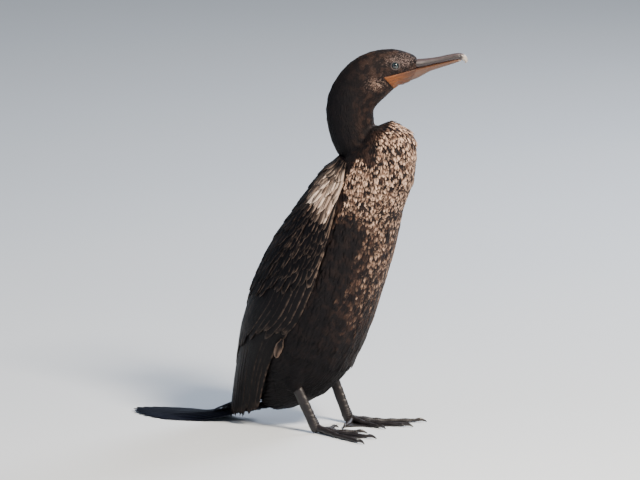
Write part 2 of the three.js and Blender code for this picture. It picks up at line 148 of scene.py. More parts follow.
class Form:
    """A row of oval sections along a path, each [x, y, z, ventral, dorsal, lateral] as in the solids."""

    def __init__(self, stations, to_frame=lambda p: p):
        s = np.array(stations, float)
        self.path = Path(s[:, :3])
        self.reach = Path(s[:, 3:])
        self.to_frame = to_frame

    def section(self, t):
        t = np.asarray(t, float)
        along = unit(self.path.at(t + 1e-3) - self.path.at(t - 1e-3))
        left = np.zeros_like(along)
        left[..., 1] = 1
        left = unit(left - along * (left * along).sum(-1, keepdims=True))
        back = np.cross(along, left)
        return self.path.at(t), left, back, self.reach.at(t)

    def point(self, t, phi, height=0.0):
        """The point at angle phi, 0 at the front and pi / 2 on the right, raised by height."""
        t, phi, height = np.broadcast_arrays(t, phi, height)
        centre, left, back, reach = self.section(t)
        depth = np.where(np.cos(phi) > 0, reach[..., 0], reach[..., 1])
        lateral = reach[..., 2]
        out = unit(np.stack([np.cos(phi) / depth, np.sin(phi) / lateral], -1))
        forward = (depth * np.cos(phi) + height * out[..., 0])[..., None]
        right = (lateral * np.sin(phi) + height * out[..., 1])[..., None]
        return self.to_frame(centre - back * forward - left * right)


# Meshes


def linked(name, data):
    """A new object of this data in the scene, at the origin."""
    made = bpy.data.objects.new(name, data)
    bpy.context.scene.collection.objects.link(made)
    return made


def give_values(mesh, values):
    """Gives a mesh named values, one for each point."""
    for key, found in values.items():
        layer = mesh.attributes.new(key, "FLOAT", "POINT")
        layer.data.foreach_set("value", np.asarray(found, np.float32))


def give_map(mesh, name, found):
    """Gives a mesh a UV map from one place for each point."""
    corners = np.empty(len(mesh.loops), np.int32)
    mesh.loops.foreach_get("vertex_index", corners)
    layer = mesh.uv_layers.new(name=name)
    layer.data.foreach_set("uv", np.asarray(found, np.float32)[corners].ravel())


def mesh_object(name, vertices, faces, values=None, uvs=None):
    """A smooth object from drawing points, with named values and UV maps given point by point."""
    mesh = bpy.data.meshes.new(name)
    mesh.from_pydata(place(vertices).tolist(), [], [tuple(map(int, f)) for f in faces])
    give_values(mesh, values or {})
    for key, found in (uvs or {}).items():
        give_map(mesh, key, found)
    mesh.polygons.foreach_set("use_smooth", [True] * len(mesh.polygons))
    mesh.update()
    return linked(name, mesh)


def outward(piece, weld=1e-7):
    """Turns every face of a closed mesh outwards, after its points closer than weld metres are made one."""
    bm = bmesh.new()
    bm.from_mesh(piece.data)
    if weld:
        bmesh.ops.remove_doubles(bm, verts=bm.verts, dist=weld)
    bmesh.ops.recalc_face_normals(bm, faces=bm.faces)
    bm.to_mesh(piece.data)
    bm.free()
    return piece


def tube_faces(rings, sides, ring_shaped=False):
    """The faces of a tube of rings, each of as many points as sides, closed at its ends or into a ring."""
    faces = []
    for i in range(rings if ring_shaped else rings - 1):
        k = (i + 1) % rings
        for j in range(sides):
            m = (j + 1) % sides
            faces.append((i * sides + j, i * sides + m, k * sides + m, k * sides + j))
    if not ring_shaped:
        faces.append(tuple(range(sides - 1, -1, -1)))
        faces.append(tuple(range((rings - 1) * sides, rings * sides)))
    return faces


def tube(name, grid, lowest=None, ring_shaped=False, **values):
    """A closed tube through a grid of rings of points, none of them under lowest."""
    grid = np.array(grid)
    if lowest is not None:
        grid[..., 2] = np.maximum(grid[..., 2], lowest)
    spread = {key: np.broadcast_to(found, grid.shape[:2]).ravel() for key, found in values.items()}
    return outward(mesh_object(name, grid.reshape(-1, 3), tube_faces(*grid.shape[:2], ring_shaped), spread))


def sheet_faces(rows, columns, first=0):
    """The faces of a closed sheet: a grid of points on top, the same below it, and its edge."""
    n = rows * columns
    i, j = np.meshgrid(np.arange(rows - 1), np.arange(columns - 1), indexing="ij")
    a = (first + i * columns + j).ravel()
    upper = np.stack([a, a + columns, a + columns + 1, a + 1], 1)
    lower = np.stack([a + n, a + n + 1, a + n + columns + 1, a + n + columns], 1)
    edge = [r * columns for r in range(rows)]
    edge += [(rows - 1) * columns + c for c in range(1, columns)]
    edge += [r * columns + columns - 1 for r in range(rows - 2, -1, -1)]
    edge += list(range(columns - 2, 0, -1))
    e = np.array(edge) + first
    f = np.roll(e, -1)
    return [upper, lower, np.stack([e, e + n, f + n, f], 1)]


def shares(count):
    """As many even steps from 0 to 1 as count, one to a row."""
    return (np.arange(count) / (count - 1))[:, None]


def angles(count):
    return 2 * math.pi * np.arange(count) / count


def read(mesh, key):
    """The points of a mesh by the key co, or its normals by the key normal."""
    found = np.empty(len(mesh.vertices) * 3)
    mesh.vertices.foreach_get(key, found)
    return found.reshape(-1, 3)


def applied(piece):
    """Swaps a piece's mesh for the plain smooth mesh that its modifiers make, and removes them."""
    evaluated = piece.evaluated_get(bpy.context.evaluated_depsgraph_get())
    mesh = bpy.data.meshes.new_from_object(evaluated)
    piece.modifiers.clear()
    piece.data = mesh
    mesh.polygons.foreach_set("use_smooth", [True] * len(mesh.polygons))
    return piece


def finish_piece(piece, material, slot, *nodes):
    """Gives a piece its material and body, and hides the solids that it stands for; the slot is not used."""
    piece.data.materials.clear()
    piece.data.materials.append(material)
    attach(piece, BODY)
    if nodes:
        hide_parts(*nodes)
    return piece


def select(pieces):
    """Selects these pieces alone, the first of them active."""
    bpy.ops.object.select_all(action="DESELECT")
    for piece in pieces:
        piece.select_set(True)
    bpy.context.view_layer.objects.active = pieces[0]


def joined(name, pieces):
    """One object of several pieces at the origin."""
    select(pieces)
    bpy.ops.object.join()
    pieces[0].name = pieces[0].data.name = name
    return pieces[0]


# Materials

# Short names for kinds of node: the type, the sockets that its inputs go to, its output and its settings
KINDS = {
    "noise": ("ShaderNodeTexNoise", ("Vector", "Scale", "Detail"), 0, {}),
    "cells": ("ShaderNodeTexVoronoi", ("Vector", "Scale"), 0, {}),
    "bump": ("ShaderNodeBump", ("Height", "Strength", "Distance"), 0, {}),
    "step": ("ShaderNodeMapRange", range(5), 0, {"interpolation_type": "SMOOTHSTEP"}),
    "mix": ("ShaderNodeMix", (0, 6, 7), 2, {"data_type": "RGBA"}),
    "value": ("ShaderNodeAttribute", (), "Fac", {}),
    "vector": ("ShaderNodeVectorMath", range(3), 0, {}),
    "field": ("GeometryNodeInputNamedAttribute", ("Name",), 0, {}),
    "random": ("FunctionNodeRandomValue", (), 1, {}),
    **{operation.lower(): ("ShaderNodeMath", range(3), 0, {"operation": operation}) for operation in (
        "ADD", "SUBTRACT", "MULTIPLY", "MULTIPLY_ADD", "ABSOLUTE", "MAXIMUM", "SINE", "COMPARE",
        "GREATER_THAN", "LESS_THAN")},
}


def linear(text):
    """An sRGB hex value as a linear colour."""
    parts = [int(text[i : i + 2], 16) / 255 for i in (1, 3, 5)]
    return tuple(p / 12.92 if p <= 0.04045 else ((p + 0.055) / 1.055) ** 2.4 for p in parts) + (1.0,)


def add(tree, kind, inputs=(), out=None, **settings):
    """Adds a node with its settings and its inputs, values or sockets to link, and gives its output."""
    kind, sockets, usual_out, preset = KINDS.get(kind, (kind, range(9), 0, {}))
    made = tree.nodes.new(kind)
    for name, value in {**preset, **settings}.items():
        setattr(made, name, value)
    for key, value in inputs.items() if isinstance(inputs, dict) else zip(sockets, inputs):
        if isinstance(value, bpy.types.NodeSocket):
            tree.links.new(value, made.inputs[key])
        else:
            made.inputs[key].default_value = value
    return made.outputs[usual_out if out is None else out] if made.outputs else made


def dressed(name, paint, values, *choices):
    """A material of one Principled shader with these values and with what paint links to it."""
    made = bpy.data.materials.new(name)
    made.use_nodes = True
    tree = made.node_tree
    tree.nodes.clear()
    where = add(tree, "ShaderNodeTexCoord", out="Object")
    inputs = {**values, **paint(partial(add, tree), where, *choices)}
    add(tree, "ShaderNodeOutputMaterial", (add(tree, "ShaderNodeBsdfPrincipled", inputs),))
    return made


def on_vane(node):
    """How far a place on a feather is from its shaft, 0.5 at its edge, and its share of the length."""
    vane = node("ShaderNodeUVMap", uv_map="Vane")
    across, along = (node("ShaderNodeSeparateXYZ", (vane,), out=i) for i in (0, 1))
    return node("absolute", (node("subtract", (across, 0.5)),)), along


def plumage(node, where):
    """Contour feathers: soft brown-black vanes of keratin, fringed with buff where young and worn."""
    names = ("warm", "buff", "grizzle", "tone")
    warm, buff, grizzle, tone = (node("value", attribute_name=name) for name in names)
    side, along = on_vane(node)
    # Brown clouds about 8 mm across, as on the cheek and the throat
    clouds = node("step", (node("noise", (where, 1000 / 8, 3.0)), 0.45, 0.62))
    brown = node("multiply", (warm, node("multiply_add", (clouds, 0.85, 0.15))))
    base = node("mix", (brown, linear("#08060A"), linear("#32231D")))
    base = node("mix", (node("multiply", (tone, 0.4)), base, linear("#030304")))
    # A feather is pale at its tip, less so on its shaft, where its draw beats what its place leaves bare
    pale = node("step", (along, 0.3, 0.72))
    drift = node("add", (node("multiply_add", (clouds, 0.25, tone)), buff))
    for limits in ((side, 0.02, 0.3, 0.45, 1.0), (drift, 0.975, 1.325), (buff, 0.0, 0.85)):
        pale = node("multiply", (pale, node("step", limits)))
    light = node("multiply", (node("add", (buff, 0.15)), node("noise", (where, 1000 / 5, 2.0))))
    light = node("step", (light, 0.2, 0.62))
    tan = node("mix", (light, linear("#684A3B"), linear("#FFD6B8")))
    tan = node("mix", (grizzle, tan, linear("#8A7873")))
    colour = node("mix", (pale, base, tan))
    # 26 pairs of barbs that slant out from the shaft, far fewer than a real feather has, so that they show
    slant = node("multiply", (node("multiply_add", (side, -0.45, along)), 26 * 2 * math.pi))
    grain = node("noise", (where, 1000 / 0.8, 3.0))
    own = node("bump", (node("multiply_add", (node("sine", (slant,)), 0.3, grain)), 0.35, 0.0004))
    # Down between the vanes spreads the light, so that a feather is lit partly as the body under it
    body = node("ShaderNodeAttribute", out="Vector", attribute_name="body")
    both = node("vector", (own, (0.5, 0.5, 0.5), body), operation="MULTIPLY_ADD")
    return {"Base Color": colour, "Normal": node("vector", (both,), operation="NORMALIZE")}


def vaned(node, where, centre, edge):
    """Vaned feathers: smooth keratin with a dark shaft, slanted barbs and a worn paler edge."""
    names = ("tone", "pale", "buff", "length_mm")
    tone, pale, buff, length = (node("value", attribute_name=name) for name in names)
    side, along = on_vane(node)
    rim, tip, spread, bared = (node("step", limits) for limits in (
        (side, 0.3, 0.48), (along, 0.9, 1.0), (side, 0.02, 0.35, 0.25, 1.25), (along, 0.25, 0.7)))
    worn = node("step", (node("noise", (where, 1000 / 6, 2.0)), 0.3, 0.7))
    rim = node("multiply", (node("maximum", (rim, tip)), worn))
    rim = node("multiply", (rim, pale), use_clamp=True)
    colour = node("mix", (node("multiply", (tone, 0.5)), linear(centre), linear("#040406")))
    colour = node("mix", (rim, colour, linear(edge)))
    # Buff feathers in tan: on the shoulder this is partly painted sunlight, and on the flank feather it is
    # the feather's own colour
    buff = node("multiply", (buff, node("multiply", (spread, bared))), use_clamp=True)
    tan = node("mix", (tone, linear("#887061"), linear("#FFE4CE")))
    colour = node("mix", (buff, colour, tan))
    shaft = node("step", (side, 0.012, 0.03, 1.0, 0.0))
    shaft = node("multiply", (shaft, node("multiply_add", (buff, -0.5, 0.6))))
    colour = node("mix", (shaft, colour, linear("#0A090A")))
    # Barbs 0.6 mm apart, coarser than the real 0.3 mm so that they show, slanting out from the shaft
    slant = node("multiply_add", (side, -14.0, node("multiply", (length, along))))
    barbs = node("sine", (node("multiply", (slant, 2 * math.pi / 0.6)),))
    return {"Base Color": colour, "Normal": node("bump", (barbs, 0.35, 0.0001))}


def horn(node, where, body, streak, tip, glint_start):
    """Horn: smooth keratin in long layers, dusky along its side, with a pale painted highlight on the hooked
    nail.
    """
    along, around = (node("value", attribute_name=name) for name in ("along", "around"))
    layers, grain = (node("noise", (where, 1000 / mm, 4.0)) for mm in (5, 1.2))
    side = node("multiply_add", (layers, 0.5, around))
    dark, upper, nail = (node("step", limits) for limits in (
        (side, 0.43, 0.63, 0.0, 0.8), (side, 0.85, 1.1, 1.0, 0.0), (along, glint_start, glint_start + 0.1)))
    dark = node("multiply", (dark, upper))
    colour = node("mix", (dark, linear(body), linear(streak)))
    # The pale tip colour is a painted highlight on the nail, not the horn's own colour
    colour = node("mix", (nail, colour, linear(tip)))
    relief = node("bump", (grain, 0.2, 0.0003))
    return {"Base Color": colour, "Normal": relief}


def gular(node, where):
    """Bare throat skin: thin, orange at the back and duller towards the bill, with fine pebbled folds."""
    along = node("value", attribute_name="along")
    patches = node("noise", (where, 1000 / 4, 2.0))
    patches = node("step", (patches, 0.3, 0.75, 0.0, 0.35))
    colour = node("mix", (along, linear("#653508"), linear("#42291C")))
    colour = node("mix", (patches, colour, linear("#2E1A0C")))
    # Pebbles about 0.9 mm across
    pebbles = node("cells", (where, 1100.0))
    relief = node("bump", (pebbles, 0.4, 0.0004))
    return {"Base Color": colour, "Normal": relief}


def mottled(node, where, patch_mm, detail, dark, light, cells=None, seams=None):
    """Two colours in soft patches, with fine cells and with paler seams where they are given."""
    patches = node("noise", (where, 1000 / patch_mm, detail))
    colour = node("mix", (patches, linear(dark), linear(light)))
    if seams:
        seam = node("value", attribute_name="seam")
        share = node("step", (seam, 0.2, 0.9, 0.0, 0.5))
        colour = node("mix", (share, colour, linear(seams)))
    if not cells:
        return {"Base Color": colour}
    scale, feature, strength, depth = cells
    relief = node("cells", (where, scale), feature=feature)
    relief = node("bump", (relief, strength, depth))
    return {"Base Color": colour, "Normal": relief}


def eye(node, where):
    """Eye: a black pupil in a dark blue-green iris with fine spokes, under a wet clear cornea."""
    out = node("value", attribute_name="out")
    spokes = node("noise", (where, 1000 / 0.7, 4.0))
    pupil, rim = (node("step", limits) for limits in ((out, 1.55, 1.85), (out, 3.1, 3.7)))
    iris = node("mix", (spokes, linear("#060F12"), linear("#14282B")))
    iris = node("mix", (rim, iris, linear("#0B0D10")))
    return {"Base Color": node("mix", (pupil, linear("#050506"), iris))}


# Skin

# How far the copied solids are swollen, and how far the thighs are towards the heel
SWELL = 0.35
THIGH_SWELL = 3.2


def copied_flesh(name, nodes):
    """One object of copies of solids, each swollen by its own amount, most of it at the legs."""
    whole = bmesh.new()
    for node, swell in nodes.items():
        part = bmesh.new()
        part.from_mesh(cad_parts[node].data)
        bmesh.ops.remove_doubles(part, verts=part.verts, dist=1e-6)
        part.normal_update()
        for vertex in part.verts:
            extra = (swell - SWELL) * (1 - ramp(vertex.co.z / MM, 46, 66))
            vertex.co += vertex.normal * (min(swell, SWELL) + max(0, float(extra))) * MM
        moved = bpy.data.meshes.new(node)
        part.to_mesh(moved)
        whole.from_mesh(moved)
        part.free()
    mesh = bpy.data.meshes.new(name)
    whole.to_mesh(mesh)
    whole.free()
    return linked(name, mesh)


def remeshed(piece, voxel, rounds):
    """The piece remade in even faces of about voxel millimetres and smoothed."""
    remesh = piece.modifiers.new("even faces", "REMESH")
    remesh.mode = "VOXEL"
    remesh.voxel_size = voxel * MM
    smooth = piece.modifiers.new("soft", "SMOOTH")
    smooth.factor = 0.5
    smooth.iterations = rounds
    return applied(piece)


def head_lie(x, z, direction):
    """A lie of the head's plane: a place there and a way, both turned with the head."""
    way = from_head((direction[0], 0, direction[1])) - from_head((0, 0, 0))
    return tuple(from_head((x, 0, z))), tuple(way)


# Where the coat lies which way: each line is a place and the way that its feathers point.
LIES = [
    head_lie(66, 390, (-1, -0.05)),
    head_lie(46, 405, (-1, -0.15)),
    head_lie(9, 390, (-0.75, -0.65)),
    head_lie(-24, 347, (0, -1)),
    head_lie(0, 347, (-0.05, -1)),
    head_lie(30, 357, (-0.7, -0.7)),
    head_lie(50, 374, (-1, -0.35)),
    head_lie(-15, 305, (0.25, -1)),
    head_lie(20, 318, (0, -1)),
    ((60, 8, 328), (1, 0, -0.15)),
    ((36, 6, 318), (0.8, 0, -0.4)),
    ((90, 8, 300), (-0.05, 0, -1)),
    ((58, 5, 295), (0.1, 0, -1)),
    ((80, 2, 250), (-0.25, 0, -1)),
    ((60, 0, 180), (-0.3, 0, -1)),
    ((25, 0, 95), (-0.45, 0, -0.85)),
    ((-20, 0, 50), (-0.9, 0, -0.4)),
    ((-60, 0, 120), (-0.35, 0, -1)),
    ((-10, 0, 240), (-0.5, 0, -0.85)),
    ((-80, 0, 35), (-1, 0, -0.35)),
]


def lie_at(points, normals):
    """The way that the coat lies at each skin point, along the surface."""
    total = np.zeros_like(points)
    for where, way in LIES:
        nearness = 1 / (np.linalg.norm(points - np.array(where), axis=1) ** 3 + 50)
        total += nearness[:, None] * np.array(way)
    flat = total - normals * (total * normals).sum(1, keepdims=True)
    return unit(flat)


def skin_values(points, normals):
    """What the coat and the skin need at each skin point: sizes, cover, colours and depth."""
    x, y, z = points.T
    along, side, up = to_head(points).T
    side = np.abs(side)
    is_head = ramp(up + 0.75 * along, 360, 385) * (up > 340)
    neck_front = 18 + 1.2 * np.maximum(0, up - 318)
    neck_foot = 281 + 12 * ramp(along, -8, 8) + 3 * np.sin(0.25 * along) + 2 * np.sin(0.4 * side)
    is_neck = ramp(up - neck_foot, 0, 9) * (1 - ramp(along - neck_front, 0, 10)) * (1 - is_head)
    bulge = ramp(z + 5 * np.sin(0.11 * x + 1) + 4 * np.sin(0.17 * y), 210, 250)
    bulge = bulge * (1 - is_neck) * (1 - is_head)
    front = ramp(normals[:, 0], 0.4, 0.85)
    low = ramp(z, 45, 175)
    legs = (1 - ramp(z, 52, 78)) * (x > -48)
    size = 11.5 - 4.0 * bulge - 6.4 * is_neck - 8.3 * is_head
    size = size - 0.9 * is_head * ramp(along, 36, 60) - 4.5 * legs

    # Bare round the eye, over the throat and under the bill's base
    bare_eye = (np.hypot(along - EYE[0], up - EYE[1]) < 5.2) * (side > 8)
    before_chin = (up - CHIN[1]) * (GAPE_REAR[0] - CHIN[0]) < (along - CHIN[0]) * (GAPE_REAR[1] - CHIN[1])
    bare_throat = (up < gape_height(along) + 0.3) * before_chin * (up > 355) * (along > 30)
    cover = 1.0 * ~(bare_eye | bare_throat | (along > 70.5))

    plain = (1 - is_neck) * (1 - is_head) * (1 - ramp(up, 334, 340))
    behind_gape = np.exp(-(((along - 29) / 11) ** 2 + ((up - 371) / 6.5) ** 2)) * is_head
    lores = np.exp(-(((along - 55) / 13) ** 2 + ((up - 393) / 7) ** 2)) * is_head
    throat = (is_head + is_neck) * ramp(along, -8, 22)
    buff = plain * (0.72 * bulge + (1 - bulge) * low * (0.08 + 0.5 * front))
    buff = buff + 0.55 * behind_gape + 0.72 * lores + 0.24 * throat
    warm = 0.08 + plain * (0.75 * bulge + low * (0.15 + 0.6 * front)) + 0.75 * throat

    # The coat is short and sunk where each thigh leaves the belly, so that it stays in the crease
    crease = np.zeros(len(points))
    for sign, (stance_x, _, _) in ((-1, STANCE["right"]), (1, STANCE["left"])):
        apart = np.linalg.norm(points - np.array((stance_x + 1, 38 * sign, 86)), axis=1)
        crease = np.maximum(crease, np.exp(-((apart / 10) ** 2)))
    depth = np.maximum(1.7 - 0.6 * np.clip(is_neck + bulge, 0, 1) - 1.2 * is_head - 1.3 * legs, 0.4)
    return {
        "size": size - 6 * crease * (1 - legs),
        "cover": cover * (crease < 0.6),
        "buff": np.clip(buff, 0, 1),
        "warm": np.clip(warm, 0, 1),
        "depth": depth + 1.6 * crease,
        "grizzle": np.clip(lores * 1.2 + 0.5 * throat, 0, 1),
        "zone": 2.0 * (is_head > 0.5) + 1.0 * (is_neck * (is_head <= 0.5) > 0.5),
    }


FLESH = ["head", "neck_upper", "neck_lower", "torso", "thigh_right", "thigh_left"]
VOXEL = 1.5


def make_skin():
    """One skin over the whole body, inside the solids by the coat's depth and bare under the wings."""
    swells = {node: THIGH_SWELL if "thigh" in node else SWELL for node in FLESH + ["gular_skin"]}
    skin = remeshed(copied_flesh("skin", swells), VOXEL, 12)
    mesh = skin.data
    places, normals = read(mesh, "co"), read(mesh, "normal")
    points = drawn(places)
    values = skin_values(points, normals)
    solids = [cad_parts[name].data for name in ("wing_right", "wing_left")]
    wings = [BVHTree.FromPolygons([v.co for v in solid.vertices], [p.vertices for p in solid.polygons])
             for solid in solids]
    hidden = np.zeros(len(points))
    for i, (p, n) in enumerate(zip(places, normals)):
        start = Vector(p) + Vector(n) * 0.0005
        hidden[i] = any(wing.ray_cast(start, Vector(n), 0.03)[0] is not None for wing in wings)
    values["cover"] = values["cover"] * (1 - hidden)
    sunk = points - normals * (values.pop("depth") + SWELL)[:, None]
    mesh.vertices.foreach_set("co", place(sunk).ravel())
    give_values(mesh, values)
    lie = mesh.attributes.new("lie", "FLOAT_VECTOR", "POINT")
    lie.data.foreach_set("vector", lie_at(points, normals).astype(np.float32).ravel())
    mesh.update()
    select([skin])
    bpy.ops.object.mode_set(mode="EDIT")
    bpy.ops.mesh.select_all(action="SELECT")
    bpy.ops.uv.smart_project(angle_limit=math.radians(60), island_margin=0.002)
    bpy.ops.object.mode_set(mode="OBJECT")
    mesh.uv_layers[0].name = "SkinMap"
    return skin


# Coat


def feather_stamp():
    """One small feather a unit long, lying along +Y: three-sided, so that it is closed and keeps a shaft."""
    arch, ridge = 0.04, 0.03
    rows = ((0, 0.07), (0.4, 0.17), (0.8, 0.12), (1, 0.02))
    vertices, places = [], []
    for v, half in rows:
        z = arch * (math.sin(math.pi * v) - 1.2 * v * v)
        vertices += [(-half, v, z), (0, v, z + ridge), (half, v, z)]
        places += [(0, v), (0.5, v), (1, v)]
    mesh = bpy.data.meshes.new("small feather")
    mesh.from_pydata(vertices, [], tube_faces(len(rows), 3))
    give_map(mesh, "Vane", places)
    return outward(linked("small feather", mesh))


def coat_tree(material):
    """Geometry Nodes that set feathers on the skin along its lie, thickest where they are small."""
    tree = bpy.data.node_groups.new("coat", "GeometryNodeTree")
    sockets = {"Geometry": "Geometry", "Feather": "Object", "Spacing": "Float", "Zone": "Float",
               "Side": "Float", "Below": "Float", "Above": "Float", "Seed": "Int"}
    for name, kind in sockets.items():
        tree.interface.new_socket(name, in_out="INPUT", socket_type="NodeSocket" + kind)
    tree.interface.new_socket("Geometry", in_out="OUTPUT", socket_type="NodeSocketGeometry")
    node = partial(add, tree)
    source = node("NodeGroupInput").node.outputs
    zone, cover, size = (node("field", (name,), data_type="FLOAT") for name in ("zone", "cover", "size"))
    lie, vane, skin_map = (node("field", (name,), data_type="FLOAT_VECTOR")
                           for name in ("lie", "Vane", "SkinMap"))
    # Each draw's own step from the seed, and its limits
    tone, tilt, longer, wider = (
        node("random", {2: low, 3: high, "Seed": node("add", (source["Seed"], step))}, data_type="FLOAT")
        for step, low, high in ((3.0, 0.0, 1.0), (7.0, 0.01, 0.08), (9.0, 0.8, 1.2), (11.0, 0.85, 1.15)))
    limits = {0: (-0.24,) * 3, 1: (0.24,) * 3, "Seed": node("add", (source["Seed"], 5.0))}
    wander = node("random", limits, 0, data_type="FLOAT_VECTOR")

    # Where the coat of this zone, side and height grows
    position = node("GeometryNodeInputPosition")
    across, up = (node("ShaderNodeSeparateXYZ", (position,), out=i) for i in (1, 2))
    sided = node("multiply", (across, source["Side"]))
    chosen = cover
    for test in (
        node("compare", (zone, source["Zone"], 0.4)),
        node("greater_than", (sided, -1e-9)),
        node("greater_than", (up, source["Below"])),
        node("less_than", (up, source["Above"])),
    ):
        chosen = node("multiply", (chosen, test))
    points = node("GeometryNodeDistributePointsOnFaces",
                  {"Mesh": source["Geometry"], "Distance Min": source["Spacing"], "Density Max": 4e6,
                   "Density Factor": chosen, "Seed": source["Seed"]}, distribute_method="POISSON")
    normal = points.node.outputs["Normal"]
    bare = node("less_than", (cover, 0.5))
    points = node("GeometryNodeDeleteGeometry", {"Geometry": points, "Selection": bare})
    for name, value, kind in (("tone", tone, "FLOAT"), ("body", normal, "FLOAT_VECTOR")):
        points = node("GeometryNodeStoreNamedAttribute", {"Geometry": points, "Name": name, "Value": value},
                      data_type=kind)

    # Which way each feather lies, and how large it is
    way = node("vector", (lie, wander), operation="ADD")
    facing = node("FunctionNodeAxesToRotation", {"Primary Axis": normal, "Secondary Axis": way},
                  primary_axis="Z", secondary_axis="Y")
    turns = {"Rotation": facing, "Rotate By": node("ShaderNodeCombineXYZ", (tilt,))}
    facing = node("FunctionNodeRotateRotation", turns, rotation_space="LOCAL")
    long = node("multiply", (node("multiply", (size, longer)), MM))
    wide = node("multiply", (long, wider))
    stamp = node("GeometryNodeObjectInfo", {"Object": source["Feather"], "As Instance": True}, out="Geometry")
    last = node("GeometryNodeInstanceOnPoints", {"Points": points, "Instance": stamp, "Rotation": facing,
                                                 "Scale": node("ShaderNodeCombineXYZ", (wide, long, long))})
    last = node("GeometryNodeRealizeInstances", {"Geometry": last})

    # Each feather's patch for baking, at its root's place on the skin's own map
    middle = node("vector", (vane, (0.5, 0.5, 0)), operation="SUBTRACT")
    local = node("vector", {0: middle, "Scale": 0.003}, operation="SCALE")
    patch = node("vector", (skin_map, local), operation="ADD")
    last = node("GeometryNodeStoreNamedAttribute", {"Geometry": last, "Name": "OFBake", "Value": patch},
                data_type="FLOAT2", domain="CORNER")
    for name in ("SkinMap", "lie", "zone", "cover", "size"):
        last = node("GeometryNodeRemoveAttribute", {"Geometry": last, "Name": name})
    node("NodeGroupOutput", (node("GeometryNodeSetMaterial", {"Geometry": last, "Material": material}),))
    return tree


def coat_piece(name, skin, tree, inputs):
    """The coat of one zone as a plain mesh."""
    coat = linked(name, skin.data)
    modifier = coat.modifiers.new("coat", "NODES")
    modifier.node_group = tree
    for item in tree.interface.items_tree:
        if item.in_out == "INPUT" and item.name in inputs:
            modifier[item.identifier] = inputs[item.name]
    applied(coat).data.name = name
    return coat


# Vaned feathers of the wings and the tail

CLOAK = Form([
    (-90, 0, 0, 24, 29, 26),
    (-84, 0, 30, 30, 31, 33),
    (-74, 0, 62, 37, 35, 44),
    (-58, 0, 95, 46, 46, 55),
    (-36, 0, 130, 54, 56, 62),
    (-14, 0, 170, 56, 57, 64),
    (8, 0, 205, 54, 55, 60),
    (25, 0, 236, 49, 51, 53),
    (39, 1, 262, 42, 46, 44),
    (47, 2, 284, 36, 38, 36),
])
FRONT_EDGE = [62, 66, 69, 70, 65, 67, 77, 90, 102, 118]
TIP_SWING = {"right": 0, "left": 12}


def front_edge(t):
    return np.interp(t, np.linspace(0, 1, len(FRONT_EDGE)), FRONT_EDGE)


def on_wing(points, t, side):
    swing = TIP_SWING[side] * np.maximum(0, 1 - t / 0.4) ** 2
    moved = np.array(points)
    moved[..., 0] -= swing
    if side == "left":
        moved[..., 1] *= -1
    return moved


def vane_outline(s, blunt):
    """A feather's half width at the share s of its length, from a narrow root to a rounded tip."""
    root = 0.35 + 0.65 * ramp(s, 0, 0.35)
    tip = np.maximum(0, 1 - np.clip(s, 0, 1) ** blunt) ** 0.5
    return root * tip


class Vanes:
    """Gathers many vaned feathers into one mesh."""

    def __init__(self):
        self.points, self.faces, self.uvs, self.count = [], [], [], 0
        self.values = {"tone": [], "pale": [], "length_mm": [], "buff": []}

    def add(self, surface, rows, columns, pale, length, buff=0.0, tone=None, thickness=0.3):
        """One closed feather on surface(u, v), u from -1 to 1 across and v from 0 to 1 along."""
        steps = 1 - (1 - np.linspace(0, 1, rows)) ** 1.3
        v, u = np.meshgrid(steps, np.linspace(-1, 1, columns), indexing="ij")
        top = surface(u, v)
        normal = unit(np.cross(np.gradient(top, axis=0), np.gradient(top, axis=1)))
        for sheet in (top, top - normal * thickness):
            self.points.append(sheet.reshape(-1, 3))
            self.uvs.append(np.stack([u / 2 + 0.5, v], -1).reshape(-1, 2))
        tone = random.uniform(0, 1) if tone is None else tone
        for key, value in (("tone", tone), ("pale", pale), ("length_mm", length), ("buff", buff)):
            self.values[key].append(np.full(2 * rows * columns, value))
        self.faces += sheet_faces(rows, columns, self.count)
        self.count += 2 * rows * columns

    def build(self, name):
        """All the feathers as one object, where each has a cell of its own in the map for baking."""
        side = math.ceil(math.sqrt(len(self.uvs) / 2))
        cells = []
        for i, uv in enumerate(self.uvs):
            corner = np.array((i // 2 % side, i // 2 // side))
            cells.append((corner + 0.04 + 0.92 * uv) / side)
        made = mesh_object(name, np.vstack(self.points), np.vstack(self.faces),
                           {k: np.concatenate(v) for k, v in self.values.items()},
                           {"Vane": np.vstack(self.uvs), "OFBake": np.vstack(cells)})
        return outward(made, weld=0)


def cloak_surface(side, root, tip, width, lift, blunt=6, edge=front_edge):
    """The surface of one wing feather, from root to tip as (t, degrees behind the wing's front edge)."""
    phase = random.uniform(0, 6.28)

    def surface(u, v):
        t = root[0] + (tip[0] - root[0]) * v
        phi = np.radians(edge(t) + root[1] + (tip[1] - root[1]) * v)
        reach = CLOAK.section(t)[3]
        half = width / 2 * vane_outline(v, blunt) * (1 + 0.03 * np.sin(23 * v + phase))
        turn = u * half / ((reach[..., 1] + reach[..., 2]) / 2)
        top = lift[0] + (lift[1] - lift[0]) * v ** 0.7
        shaft = 0.25 * np.exp(-((u / 0.14) ** 2))
        ripple = 0.12 * np.sin(9 * v + 5 * u + phase)
        return on_wing(CLOAK.point(t, phi + turn, top - 0.5 * u - 0.35 * u * u + shaft + ripple), t, side)

    return surface


# Long wing feathers, lowest first: count, root, tips from front to back, degrees spanned, width, lift,
# how pale their edges are and how blunt their tips
LONG_TIERS = {
    "primaries": (12, 0.55, (0.07, 0.0), (5, 90), 15, (-3.6, -1.7), 0.25, 4),
    "secondaries": (16, 0.7, (0.4, 0.17), (5, 108), 13.5, (-3.2, -0.9), 0.6, 7),
}
COVERT_ROWS = 10
COVERTS_A_ROW = 20
SCAPULAR_ROWS = 10
SCAPULARS_A_ROW = 8
CLOAK_LENGTH = 330
CLOAK_TOP = 0.985


